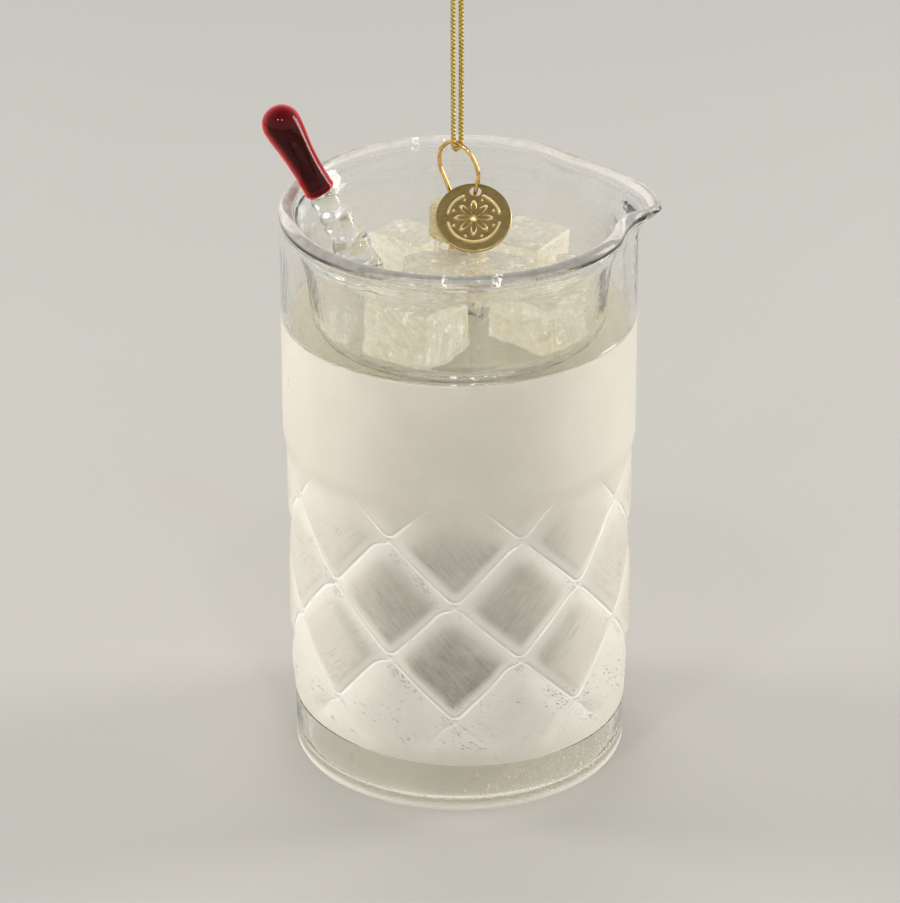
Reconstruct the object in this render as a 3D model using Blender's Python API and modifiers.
"""Mixing-glass ornament: a double-walled blown glass with a pouring lip, a frosted
diamond-cut belt, glass ice on a false floor, a twisted stirrer with a ruby end, and
the cap, sprung wire, disc and cord it hangs by.

Dimensions are in millimetres, and the meshes are made in metres. +Z is up, -Y is the front,
the origin is the centre of the foot's underside, and the lip points along +X.
"""

import math

import bmesh
import bpy
import numpy as np
from mathutils import Matrix, Vector

MM = 0.001

# ---------------------------------------------------------------- driving dimensions
GLASS_HEIGHT = 96.0       # underside of the foot to the top of the rim
WALL_R = 28.5             # outer radius above the belt
WALL = 1.0                # thickness of the inner cup's wall
BELT_R = 27.9             # crest radius of the diamond pillows
FOOT_R = 27.1             # clear foot
BELT_FOOT_R = FOOT_R + 0.2  # crest radius where the belt meets the foot
FOOT_TOP = 9.3            # where the frosted coat starts
FROST_TOP = 77.6          # where the frosted coat ends
COAT = 0.30               # coat thickness
COAT_GAP = 0.12           # coat to glass
FLOOR_UNDER_Z = 74.7
FLOOR_Z = FLOOR_UNDER_Z + 0.9   # top of the false floor
CAP_TOP = GLASS_HEIGHT    # the cap ends level with the rim

LATTICE_COLUMNS = 8       # diamonds round the glass
LATTICE_MID_Z = 38.4      # a row of crossings, one of them facing -Y
LATTICE_ROW = 10.7        # height from one row of crossings to the next
DIAMOND_SEGMENTS = 6      # an even number, so that every cut runs through vertices
SEGMENTS = LATTICE_COLUMNS * DIAMOND_SEGMENTS
ROW_STEP = LATTICE_ROW / (DIAMOND_SEGMENTS / 2)


# ---------------------------------------------------------------- scene and materials
for old in list(bpy.data.objects):
    bpy.data.objects.remove(old, do_unlink=True)


def collection(name):
    made = bpy.data.collections.new(name)
    bpy.context.scene.collection.children.link(made)
    return made


PARTS = collection("mixing_glass_ornament")
HELPERS = collection("cutters")


def material(name, colour, roughness, metallic=0.0, transmission=0.0):
    made = bpy.data.materials.new(name)
    made.use_nodes = True
    settings = {
        "Base Color": (*colour, 1.0),
        "Roughness": roughness,
        "Metallic": metallic,
        "Transmission Weight": transmission,
        "IOR": 1.45,
    }
    shader = made.node_tree.nodes["Principled BSDF"]
    for socket, value in settings.items():
        shader.inputs[socket].default_value = value
    made.diffuse_color = (*colour, 1.0)
    return made


CLEAR = material("clear_glass", colour=(0.93, 0.93, 0.90), roughness=0.03, transmission=1.0)
FROST = material("frosted_coat", colour=(0.86, 0.83, 0.76), roughness=0.5)
ICE = material("ice_glass", colour=(0.96, 0.93, 0.83), roughness=0.12, transmission=1.0)
RUBY = material("ruby_glass", colour=(0.35, 0.01, 0.02), roughness=0.05, transmission=0.8)
GOLD = material("gold_plate", colour=(0.80, 0.70, 0.45), roughness=0.3, metallic=1.0)
WIRE = material("gold_wire", colour=(0.85, 0.55, 0.20), roughness=0.22, metallic=1.0)
BRASS = material("antique_brass", colour=(0.52, 0.40, 0.17), roughness=0.35, metallic=1.0)
BRAID = material("gold_braid", colour=(0.80, 0.66, 0.20), roughness=0.45, metallic=0.6)


# ---------------------------------------------------------------- mesh and object helpers
def finished(shape, name):
    """A new mesh from the bmesh, which is freed."""
    mesh = bpy.data.meshes.new(name)
    shape.to_mesh(mesh)
    shape.free()
    return mesh


def add(name, mesh, mat, pivot=(0, 0, 0)):
    """Link a mesh given in world metres, with its origin at pivot (millimetres)."""
    origin = Vector(pivot) * MM
    mesh.transform(Matrix.Translation(-origin))
    mesh.name = name
    mesh.materials.clear()
    mesh.materials.append(mat)
    mesh.shade_smooth()
    mesh.set_sharp_from_angle(angle=math.radians(38))
    obj = bpy.data.objects.new(name, mesh)
    obj.location = origin
    PARTS.objects.link(obj)
    return obj


def add_boolean(target, name, operation, helper):
    """Combine target with helper, which moves to the helpers and isn't rendered."""
    for other in list(helper.users_collection):
        other.objects.unlink(helper)
    HELPERS.objects.link(helper)
    helper.hide_render = True
    helper.display_type = "WIRE"
    modifier = target.modifiers.new(name, "BOOLEAN")
    modifier.operation = operation
    modifier.object = helper


def cut_hole(target, name, cutter_name, radius, vertices, placing):
    """Cut a round hole along the local Z of placing, a matrix in world metres."""
    bpy.ops.mesh.primitive_cylinder_add(vertices=vertices, radius=radius * MM, depth=3 * MM)
    cutter = bpy.context.object
    cutter.name = cutter_name
    cutter.matrix_world = placing
    add_boolean(target, name, "DIFFERENCE", cutter)


def evaluated_mesh(obj):
    """The object's mesh with its modifiers applied; the object itself is removed."""
    bpy.context.view_layer.update()
    graph = bpy.context.evaluated_depsgraph_get()
    mesh = bpy.data.meshes.new_from_object(obj.evaluated_get(graph))
    mesh.transform(obj.matrix_world)
    bpy.data.objects.remove(obj, do_unlink=True)
    return mesh


def arc(radius, centre, start, end, count):
    """Profile points round centre, from start to end degrees, in count equal steps."""
    angles = [math.radians(start + (end - start) * k / count) for k in range(count + 1)]
    return [(centre[0] + radius * math.cos(angle), centre[1] + radius * math.sin(angle))
            for angle in angles]


def turned(profile, steps, loop=False):
    """A profile of (radius, height) millimetres turned round Z. It runs down its outer side."""
    count = len(profile)
    edges = [(i, i + 1) for i in range(count - 1)]
    if loop:
        edges.append((count - 1, 0))
    mesh = bpy.data.meshes.new("profile")
    mesh.from_pydata([(radius * MM, 0, z * MM) for radius, z in profile], edges, [])
    obj = bpy.data.objects.new("profile", mesh)
    bpy.context.scene.collection.objects.link(obj)
    screw = obj.modifiers.new("turn", "SCREW")
    screw.axis = "Z"
    screw.angle = 2 * math.pi
    screw.steps = screw.render_steps = steps
    screw.use_merge_vertices = True
    screw.merge_threshold = 0.01 * MM
    return evaluated_mesh(obj)


def reshape(mesh, rule):
    """Move each vertex of a turned mesh by a rule of (radius, angle in degrees, height)."""
    for vertex in mesh.vertices:
        x, y, z = (c / MM for c in vertex.co)
        radius = math.hypot(x, y)
        if radius < 0.05:   # on the axis
            continue
        radius, degrees, z = rule(radius, math.degrees(math.atan2(y, x)), z)
        angle = math.radians(degrees)
        vertex.co = (radius * math.cos(angle) * MM, radius * math.sin(angle) * MM, z * MM)
    return mesh


def split_along_cuts(mesh):
    """Split every four-sided face along the diagonal nearer the axis, so cuts stay crisp."""
    shape = bmesh.new()
    shape.from_mesh(mesh)
    pairs = []
    for face in shape.faces:
        if len(face.verts) != 4:
            continue
        corners = face.verts[:]
        places = [corner.co for corner in corners]
        microns = [round(math.hypot(place.x, place.y) * 1e6, 0) for place in places]
        first = microns[0] + microns[2]
        second = microns[1] + microns[3]
        if abs(first - second) < 3:
            # equal: start from the lowest corner, whatever the face's order
            keys = [(round(place.z, 6), round(math.atan2(place.y, place.x), 4))
                    for place in places]
            use_first = keys.index(min(keys)) % 2 == 0
        else:
            use_first = first < second
        pairs.append(corners[0::2] if use_first else corners[1::2])
    for pair in pairs:
        bmesh.ops.connect_vert_pair(shape, verts=pair)
    shape.to_mesh(mesh)
    shape.free()
    return mesh


# ---------------------------------------------------------------- the glass wall's rules
# Ranges are the two heights between which an effect grows or fades.
BELT_FLARE = (53.5, 58.0)     # the belt widens to the wall
FOOT_TAPER = (16.0, 9.0)      # the belt narrows to the foot, downwards

GROOVE_DEPTH = 0.65           # of the cuts between the pillows
PILLOW_REACH = 0.8            # a pillow is full at this share of its half width
PILLOW_POWER = 2.6            # how steeply its flanks fall into the cut
CUT_FADE_LOW = (9.0, 13.0)
CUT_FADE_HIGH = (52.0, 57.0)
SKIN = 0.6                    # the cuts reach surfaces this far inside the crests

LIP_REACH = 3.65              # how far the pouring lip stands out of the circle
LIP_CENTRE = 2.0              # degrees from +X
LIP_FRONT = 4.5               # spread of the lip on its -Y side, degrees
LIP_BACK = 15.0               # spread of the lip on its +Y side, degrees
LIP_RISE = (91.2, 95.2)
PINCH = 0.85                  # the rim draws in on both sides of the lip
PINCHES = ((-17.0, 9.0), (45.0, 11.0))    # centre and spread of each, degrees
PINCH_RISE = (80.0, 94.0)
DROOP = 0.5                   # how far the lip's edge sinks
DROOP_SPREAD = 8.0            # degrees
DROOP_RISE = (93.0, GLASS_HEIGHT)
CROWD_REACH = 45.0            # vertices this near the lip are shifted, degrees either way
CROWD_SHIFT = 7.0             # the greatest shift, degrees
CROWD_RISE = (79.0, 90.0)
LIP_FROM_Z = 78.0             # the lip's rules apply above this, the cuts' rules below
STILL_R = 15.0                # everything inside this radius stays as turned


def smoothstep(low, high, value):
    share = min(1.0, max(0.0, (value - low) / (high - low)))
    return share * share * (3 - 2 * share)


def belt_radius(z):
    """Crest radius of the outside without the cuts."""
    widening = (WALL_R - BELT_R) * smoothstep(*BELT_FLARE, z)
    return BELT_R + widening - (BELT_R - BELT_FOOT_R) * smoothstep(*FOOT_TAPER, z)


def cut_depth(angle, z):
    """Depth of the diamond cuts. They climb at about 45 degrees both ways and fade at both ends."""
    around = (angle + 90.0) / (360.0 / LATTICE_COLUMNS / 2)
    up = (z - LATTICE_MID_Z) / LATTICE_ROW

    def away(value):
        """Distance to the nearest even number, where a cut runs."""
        return abs((value + 1.0) % 2.0 - 1.0)

    near = min(away(around + up), away(around - up))
    groove = (1.0 - min(1.0, near / PILLOW_REACH)) ** PILLOW_POWER
    fade = smoothstep(*CUT_FADE_LOW, z) * (1.0 - smoothstep(*CUT_FADE_HIGH, z))
    return GROOVE_DEPTH * groove * fade


def lip_offset(angle, z):
    """How far the pouring lip and the draw-in beside it move the wall outwards."""
    spread = LIP_BACK if angle > LIP_CENTRE else LIP_FRONT
    out = LIP_REACH * math.exp(-((angle - LIP_CENTRE) ** 2) / (2 * spread**2))
    draw = PINCH * sum(math.exp(-(((angle - centre) / width) ** 2)) for centre, width in PINCHES)
    return out * smoothstep(*LIP_RISE, z) - draw * smoothstep(*PINCH_RISE, z)


def crowd(angle, z):
    """Bring the vertices closer together at the lip, where the wall turns sharply."""
    if abs(angle) >= CROWD_REACH:
        return angle
    wave = math.sin(math.radians(180.0 / CROWD_REACH * angle))
    return angle - CROWD_SHIFT * wave * smoothstep(*CROWD_RISE, z)


def wall_rule(radius, angle, z):
    if radius < STILL_R:
        return radius, angle, z
    angle = crowd(angle, z)
    if z > LIP_FROM_Z:
        radius += lip_offset(angle, z)
        sink = math.exp(-(((angle - LIP_CENTRE) / DROOP_SPREAD) ** 2))
        z -= DROOP * sink * smoothstep(*DROOP_RISE, z)
    elif z > FOOT_TOP - 0.3 and radius > belt_radius(z) - SKIN:
        radius -= cut_depth(angle, z)
    return radius, angle, z


def add_wall(name, profile, mat, loop=False):
    mesh = reshape(turned(profile, SEGMENTS, loop), wall_rule)
    add(name, split_along_cuts(mesh), mat)


# ---------------------------------------------------------------- glass_shell and frost_coat
BEAD_R = 1.75                 # section radius of the rolled rim
BEAD_CENTRE = (WALL_R - BEAD_R, GLASS_HEIGHT - BEAD_R)
BELT_ROWS = [70.0] + [LATTICE_MID_Z + ROW_STEP * k for k in range(6, -8, -1)]

# (radius, height), from the middle of the bottom up the inside to the rim
SHELL_INSIDE = [
    (0, 1.3), (8, 1.3), (16, 1.3), (22.8, 1.4), (25.0, 2.4), (25.8, 4.6), (26.0, 9.9),
    (26.0, 24), (26.0, 38), (26.0, 51), (26.7, 57), (27.2, 61), (27.2, 70), (27.2, 80),
    (27.2, 86), (27.2, 91.3), (26.7, 92.3), (25.4, 92.5),
]
WALL_ROWS = (92.8, 91.2, 88.5, 84.5, 80.5, FROST_TOP + 0.2)    # heights below the rim
# (radius, height), down the clear foot and in along its underside
SHELL_FOOT = [
    (FOOT_R + 0.15, FOOT_TOP - 0.25), (FOOT_R + 0.05, 6.0), (FOOT_R - 0.1, 2.6),
    (26.6, 1.1), (25.9, 0.3), (25.0, 0.0), (16, 0), (8, 0), (0, 0),
]


def build_glass_shell():
    profile = SHELL_INSIDE + arc(BEAD_R, BEAD_CENTRE, 180, 0, 8)
    profile += [(WALL_R, z) for z in WALL_ROWS]
    # the glass is set back under the coat
    coated = [FROST_TOP + 0.15] + BELT_ROWS + [FOOT_TOP - 0.17]
    profile += [(belt_radius(z) - (COAT + COAT_GAP), z) for z in coated]
    add_wall("glass_shell", profile + SHELL_FOOT, CLEAR)


def build_frost_coat():
    rows = [FROST_TOP] + BELT_ROWS + [FOOT_TOP]
    outside = [(belt_radius(z), z) for z in rows]
    inside = [(radius - COAT, z) for radius, z in reversed(outside)]
    add_wall("frost_coat", outside + inside, FROST, loop=True)


# ---------------------------------------------------------------- inner_cup
CUP_TOP_Z = 92.2
CUP_R = 24.9                  # outer radius of the inner wall at its top
CUP_LOW_R = 23.75             # and where its bottom corner starts
CUP_CORNER = 4.4              # outer radius of that corner
CUP_CORNER_CENTRE = (CUP_LOW_R - CUP_CORNER, FLOOR_UNDER_Z + CUP_CORNER)
NECK_R, NECK_BORE, NECK_TOP = 3.9, 3.0, 94.5

# (radius, height), down the outside
CUP_SIDE = [
    (CUP_R, CUP_TOP_Z), ((CUP_R * 2 + CUP_LOW_R) / 3, 87.8), ((CUP_R + CUP_LOW_R * 2) / 3, 83.4),
]
# (radius, height), in under the floor, up the bore, down the neck and out over the floor
CUP_NECK = [
    (12, FLOOR_UNDER_Z), (4.6, FLOOR_UNDER_Z), (3.4, 75.2), (NECK_BORE, 76.2), (NECK_BORE, 85),
    (NECK_BORE, 94.2), (3.25, NECK_TOP), (3.65, NECK_TOP), (NECK_R, 94.2), (NECK_R, 86),
    (NECK_R, 77.4), (4.4, 76.2), (5.6, FLOOR_Z), (12, FLOOR_Z),
]


def build_inner_cup():
    profile = CUP_SIDE + arc(CUP_CORNER, CUP_CORNER_CENTRE, 0, -90, 5) + CUP_NECK
    profile += arc(CUP_CORNER_CENTRE[1] - FLOOR_Z, CUP_CORNER_CENTRE, -90, 0, 5)
    profile += [(radius - WALL, z) for radius, z in reversed(CUP_SIDE)]
    add_wall("inner_cup", profile, CLEAR, loop=True)


# ---------------------------------------------------------------- ice
STAND = FLOOR_Z + 0.3         # underside of the lowest ice

# name, centre (x, y), size (x, y, z), turn in degrees, underside, bevel, skew
ICE_PIECES = [
    ("ice_cube_front_left", (-6.65, -11.4), (12.2, 12.3, 9.9), 54.8, STAND, 0.9, 0.35),
    ("ice_cube_front_right", (12.3, -6.75), (9.8, 12.2, 8.8), 49.8, STAND + 0.1, 0.9, 0.35),
    ("ice_cube_back_left", (-8.1, 10.9), (10.5, 8.5, 10.0), -36.3, STAND, 0.9, 0.35),
    ("ice_cube_back_right", (10.25, 9.6), (11.0, 11.2, 10.1), -30.8, STAND, 0.9, 0.35),
    ("ice_cube_top", (0.9, -8.65), (19.8, 6.9, 4.0), -2.0, 86.5, 1.1, 0.2),
    ("ice_chip_right", (18.0, 2.6), (5.2, 6.0, 8.0), 8.0, STAND + 0.3, 0.8, 0.2),
]


def build_ice(name, centre, size, turn, bottom, bevel, skew):
    """A rough glass cube: its corners are drawn slightly out of true, by up to skew."""
    shape = bmesh.new()
    bmesh.ops.create_cube(shape, size=1.0)
    for index, vertex in enumerate(shape.verts):
        place = vertex.co
        place.x *= size[0]
        place.y *= size[1]
        place.z = (place.z + 0.5) * size[2]
        # the factors only make each corner of each piece differ
        wobble = centre[0] * 1.7 + centre[1] * 0.9 + index * 2.4
        place.x += skew * (math.sin(wobble) - 1) * math.copysign(0.5, place.x)
        place.y += skew * (math.sin(wobble * 1.6) - 1) * math.copysign(0.5, place.y)
        if place.z > 0.1:   # the underside stays flat
            place.z += skew * math.sin(wobble * 2.3)
    mesh = finished(shape, name)
    pivot = (*centre, bottom)
    mesh.transform(Matrix.Translation(Vector(pivot) * MM)
                   @ Matrix.Rotation(math.radians(turn), 4, "Z")
                   @ Matrix.Diagonal((MM, MM, MM, 1)))
    obj = add(name, mesh, ICE, pivot)
    edges = obj.modifiers.new("edges", "BEVEL")
    edges.width = bevel * MM
    edges.segments = 2
    edges.limit_method = "NONE"


# ---------------------------------------------------------------- stirrer
STIR_DIR = Vector((-0.4587, 0.0, 0.8886))
STIR_FOOT = Vector((-12.95, 5.0, 78.4))
STIR_JOIN, STIR_END = 19.6, 35.9   # distances along the stem from its foot
STIR_R = 2.45
STIR_FRAME = (Matrix.Translation(STIR_FOOT * MM)
              @ STIR_DIR.to_track_quat("Z", "Y").to_matrix().to_4x4())

STEM_RINGS, STEM_SIDES, STEM_TURNS = 26, 12, 2.4
STEM_CAP_RINGS = 5            # rings of the rounded foot
STEM_TIP_SHARE = 0.35         # how far the first ring stands from the pole, in rings
STEM_MEAN, STEM_LOBE = 0.96, 0.10  # the two-lobed section, as shares of STIR_R

RUBY_BULB_R = 3.2
BULB_AT = STIR_END - RUBY_BULB_R   # the bulb's centre along the stirrer
RUBY_START = STIR_JOIN + 0.15
# (radius, distance along the stirrer), below the bulb
RUBY_NECK = [
    (3.05, BULB_AT - 2.0), (2.75, BULB_AT - 4.4), (2.5, BULB_AT - 7.0), (2.4, BULB_AT - 9.6),
    (2.42, RUBY_START + 0.8), (2.2, RUBY_START + 0.15), (1.9, RUBY_START), (0, RUBY_START),
]


def build_stirrer_stem():
    """A loft: a two-lobed section that turns as it climbs, rounded at its foot."""
    shape = bmesh.new()
    rings = []
    low = -STIR_R
    length = STIR_JOIN - low
    for i in range(STEM_RINGS + 1):
        along = low + length * i / STEM_RINGS
        if i < STEM_CAP_RINGS:
            share = (i + STEM_TIP_SHARE) / (STEM_CAP_RINGS + STEM_TIP_SHARE)
            along = low * math.cos(math.radians(90 * share))
        closing = math.sqrt(max(0.0, 1 - (along / low) ** 2)) if along < 0 else 1.0
        twist = 2 * math.pi * STEM_TURNS * (along - low) / length
        ring = []
        for k in range(STEM_SIDES):
            angle = 2 * math.pi * k / STEM_SIDES
            radius = closing * STIR_R * (STEM_MEAN + STEM_LOBE * math.cos(2 * angle))
            x = radius * math.cos(angle + twist)
            y = radius * math.sin(angle + twist)
            ring.append(shape.verts.new((x * MM, y * MM, along * MM)))
        rings.append(ring)
    for lower, upper in zip(rings, rings[1:]):
        for k in range(STEM_SIDES):
            j = (k + 1) % STEM_SIDES
            shape.faces.new((lower[k], lower[j], upper[j], upper[k]))
    shape.faces.new(list(reversed(rings[0])))
    shape.faces.new(rings[-1])
    mesh = finished(shape, "stirrer_stem")
    mesh.transform(STIR_FRAME)
    add("stirrer_stem", mesh, CLEAR, STIR_FOOT)


def build_stirrer_tip():
    profile = [(0, STIR_END)]
    for degrees in (22, 45, 68, 90):
        angle = math.radians(degrees)
        profile.append((RUBY_BULB_R * math.sin(angle), BULB_AT + RUBY_BULB_R * math.cos(angle)))
    mesh = turned(profile + RUBY_NECK, 20)
    mesh.transform(STIR_FRAME)
    add("stirrer_tip", mesh, RUBY, STIR_FOOT + STIR_DIR * STIR_JOIN)


# ---------------------------------------------------------------- hanger_cap and hanger_wire
CAP_R, CAP_SKIRT, CAP_WALL = 4.6, 91.0, 0.5
CAP_HOLE_R = 0.65
CAP_FLUTES, FLUTE_DEPTH = 12, 0.12
CAP_STEPS = 2 * CAP_FLUTES    # one vertex on each ridge and one in each hollow

WIRE_R = 0.35
WIRE_TURN = math.radians(-35)  # the loop's plane, turned about Z
LEG_S = 1.4                   # half distance between the wire's legs

# (radius, height), over the top, down the outside and back up inside
CAP_PROFILE = [
    (0, CAP_TOP), (2.2, CAP_TOP), (3.7, CAP_TOP), (4.3, CAP_TOP - 0.22), (CAP_R, CAP_TOP - 0.8),
    (CAP_R, 93.2), (CAP_R, 92.0), (CAP_R + 0.2, CAP_SKIRT + 0.15), (CAP_R - 0.2, CAP_SKIRT),
    (CAP_R - CAP_WALL, 92.0), (CAP_R - CAP_WALL, 94.9), (3.7, 95.45),
    (2.2, CAP_TOP - CAP_WALL), (0, CAP_TOP - CAP_WALL),
]
# (sideways, height) in the loop's plane; the loop leans a little to its left
WIRE_LOOP = [
    (-1.5, 97.2), (-2.5, 99.4), (-3.55, 101.5), (-3.62, 103.9), (-2.6, 105.55), (-1.2, 106.3),
    (0.4, 106.12), (1.9, 105.3), (3.2, 103.6), (3.78, 101.7), (3.55, 100.0), (3.1, 98.6),
    (1.9, 97.15),
]
# the left leg upwards, likewise; the legs splay inside the neck's bore
WIRE_LEG = [(-2.5, 80.5), (-2.5, 84.6), (-2.1, 86.6), (-LEG_S, 88.6), (-LEG_S, 96.3)]


def across(sideways, z):
    """A point of the wire loop's plane, so many millimetres sideways from the axis."""
    return Vector((sideways * math.cos(WIRE_TURN), sideways * math.sin(WIRE_TURN), z))


def flute(radius, angle, z):
    if radius > CAP_R - 0.05:
        phase = CAP_FLUTES * (angle - 360 / CAP_STEPS)
        radius += FLUTE_DEPTH * math.cos(math.radians(phase))
    return radius, angle, z


def build_hanger_cap():
    mesh = reshape(turned(CAP_PROFILE, CAP_STEPS), flute)
    cap = add("hanger_cap", mesh, GOLD, (0, 0, CAP_SKIRT))
    for sideways, side in ((-LEG_S, "left"), (LEG_S, "right")):
        placing = Matrix.Translation(across(sideways, CAP_TOP) * MM)
        cut_hole(cap, "leg_hole", "leg_hole_cutter_" + side, CAP_HOLE_R, 12, placing)


def smooth_path(points, steps):
    """Catmull-Rom curve through the points, with so many steps between each two."""
    knots = [np.array(point, float) for point in points]
    knots = [2 * knots[0] - knots[1]] + knots + [2 * knots[-1] - knots[-2]]
    path = []
    for before, start, end, after in zip(knots, knots[1:], knots[2:], knots[3:]):
        linear = end - before
        square = 2 * before - 5 * start + 4 * end - after
        cube = 3 * start - before - 3 * end + after
        for k in range(steps):
            share = k / steps
            path.append(0.5 * (2 * start + linear * share + square * share**2 + cube * share**3))
    return path + [knots[-2]]


def tube(name, path, radius):
    """A round bar along the path (millimetres), as a closed mesh in world metres."""
    curve = bpy.data.curves.new(name, "CURVE")
    curve.dimensions = "3D"
    curve.bevel_depth = radius * MM
    curve.bevel_resolution = 1
    curve.use_fill_caps = True
    spline = curve.splines.new("POLY")
    spline.points.add(len(path) - 1)
    for point, place in zip(spline.points, path):
        point.co = (place[0] * MM, place[1] * MM, place[2] * MM, 1)
    obj = bpy.data.objects.new(name, curve)
    bpy.context.scene.collection.objects.link(obj)
    mesh = evaluated_mesh(obj)
    # weld the end caps to the bar
    shape = bmesh.new()
    shape.from_mesh(mesh)
    bmesh.ops.remove_doubles(shape, verts=shape.verts, dist=1e-7)
    shape.to_mesh(mesh)
    shape.free()
    return mesh


def build_hanger_wire():
    right_leg = [(-sideways, z) for sideways, z in reversed(WIRE_LEG)]
    points = WIRE_LEG + smooth_path(WIRE_LOOP, 3) + right_leg
    path = [across(sideways, z) for sideways, z in points]
    add("hanger_wire", tube("hanger_wire", path, WIRE_R), WIRE, (0, 0, CAP_TOP))


# ---------------------------------------------------------------- hanging_cord
CORD_R = 0.45
CORD_PIVOT = Vector((-0.25, 0.17, 106.25))   # centre of the cord's bend round the wire
CORD_SIDE = Vector((0.68, 0.733, 0))         # from the pivot to the first strand
BIGHT_R = WIRE_R + CORD_R + 0.08             # the bend's radius
CORD_TOP = 158.0              # height where the strands run into the knot
CORD_RUN = CORD_TOP - CORD_PIVOT.z
END_R = BIGHT_R * 0.7         # the strands close in above the knot
KNOT_RADII = (2.0, 1.7, 2.1)
KNOT_RISE = 2.0               # the knot's centre above CORD_TOP


def cord_point(reach, height, x=0.0, y=0.0):
    """A point so far along CORD_SIDE and up from the pivot, shifted by x and y."""
    return CORD_PIVOT + CORD_SIDE * reach + Vector((x, y, height))


def build_hanging_cord():
    """One length through the loop, both ends up into a knot."""
    path = [cord_point(END_R, CORD_RUN + 10, x=1.8, y=0.6),
            cord_point(END_R, CORD_RUN + 4, x=0.5, y=0.2)]
    path += [cord_point(BIGHT_R, height) for height in (CORD_RUN, 34.0, 17.0, 4.0)]
    for degrees in range(0, 181, 22):
        angle = math.radians(degrees)
        path.append(cord_point(BIGHT_R * math.cos(angle), -BIGHT_R * math.sin(angle)))
    path += [cord_point(-BIGHT_R, height) for height in (0.6, 4.0, 17.0, 34.0, CORD_RUN)]
    path += [cord_point(-END_R, CORD_RUN + 4, x=-0.5, y=-0.2),
             cord_point(-END_R, CORD_RUN + 9, x=-2.1, y=-0.5)]
    cord = add("hanging_cord", tube("hanging_cord", path, CORD_R), BRAID, CORD_PIVOT)

    shape = bmesh.new()
    bmesh.ops.create_uvsphere(shape, u_segments=12, v_segments=8, radius=1.0)
    for vertex in shape.verts:
        vertex.co = Vector([c * radius for c, radius in zip(vertex.co, KNOT_RADII)]) * MM
    knot = bpy.data.objects.new("knot_shape", finished(shape, "knot"))
    knot.location = Vector((CORD_PIVOT.x, CORD_PIVOT.y, CORD_TOP + KNOT_RISE)) * MM
    add_boolean(cord, "knot", "UNION", knot)


# ---------------------------------------------------------------- tag_disc
TAG_R, TAG_HOLE_R = 6.0, 0.95
TAG_HALF = 0.5 / 2            # half the disc's thickness
TAG_HOLE = Vector((2.63, -1.84, 98.86))
TAG_HOLE_UP = 4.6             # the hole from the disc's centre, along the disc's up direction
TAG_HOLE_RIGHT = 0.33         # and to its right
TAG_LEAN = math.radians(50.0)  # the disc's up direction, from the vertical towards +Y

# (radius, height) from the face's middle out over a raised ring, and in along the back
TAG_PROFILE = [
    (0, TAG_HALF), (3.5, TAG_HALF), (3.7, TAG_HALF + 0.1), (3.9, TAG_HALF + 0.1),
    (4.1, TAG_HALF), (TAG_R - 0.2, TAG_HALF), (TAG_R, TAG_HALF - 0.12),
    (TAG_R, -TAG_HALF + 0.12), (TAG_R - 0.2, -TAG_HALF), (0, -TAG_HALF),
]


def build_tag_disc():
    right = Vector((1, 0, 0))
    up = Vector((0, math.sin(TAG_LEAN), math.cos(TAG_LEAN)))
    face = Vector((0, -math.cos(TAG_LEAN), math.sin(TAG_LEAN)))
    facing = Matrix((right, up, face)).transposed().to_4x4()
    centre = TAG_HOLE - up * TAG_HOLE_UP - right * TAG_HOLE_RIGHT
    mesh = turned(TAG_PROFILE, 32)
    mesh.transform(Matrix.Translation(centre * MM) @ facing)
    tag = add("tag_disc", mesh, BRASS, TAG_HOLE)
    placing = Matrix.Translation(TAG_HOLE * MM) @ facing
    cut_hole(tag, "hole", "tag_hole_cutter", TAG_HOLE_R, 14, placing)


# ---------------------------------------------------------------- the whole ornament
build_glass_shell()
build_frost_coat()
build_inner_cup()
for piece in ICE_PIECES:
    build_ice(*piece)
build_stirrer_stem()
build_stirrer_tip()
build_hanger_cap()
build_hanger_wire()
build_hanging_cord()
build_tag_disc()
